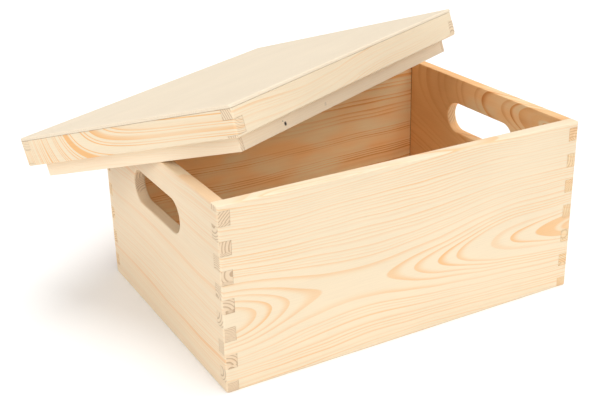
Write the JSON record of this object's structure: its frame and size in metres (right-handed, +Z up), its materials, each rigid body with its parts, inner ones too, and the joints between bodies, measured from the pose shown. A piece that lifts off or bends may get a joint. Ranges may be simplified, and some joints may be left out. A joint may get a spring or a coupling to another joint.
{
  "type": "toy box",
  "caption": "Wooden toy box with finger-jointed corners, a hand hole in each short wall and a loose framed lid with an inner lip, lying askew on top.",
  "frame": {"origin": "centre of the box's underside, on the flush bottom panel", "axes": "+X along the long front wall, +Y from the front wall to the back wall, +Z up"},
  "size_m": [0.4288, 0.3916, 0.2278],
  "materials": {
    "pine": "bare sanded pine, satin",
    "plywood": "bare sanded plywood, satin"
  },
  "bodies": {
    "box": {"front_wall": "pine", "back_wall": "pine", "left_wall": "pine", "right_wall": "pine", "bottom_panel": "plywood"},
    "lid": {"lid_front_rail": "pine", "lid_back_rail": "pine", "lid_left_rail": "pine", "lid_right_rail": "pine", "lid_top_panel": "plywood", "lid_front_lip": "pine", "lid_back_lip": "pine", "lid_left_lip": "pine", "lid_right_lip": "pine"}
  },
  "joints": [
    {"name": "lid_lift", "type": "slide", "parent": "box", "child": "lid", "axis": [0, 0, 1], "range_m": [0, 0.2]}
  ]
}
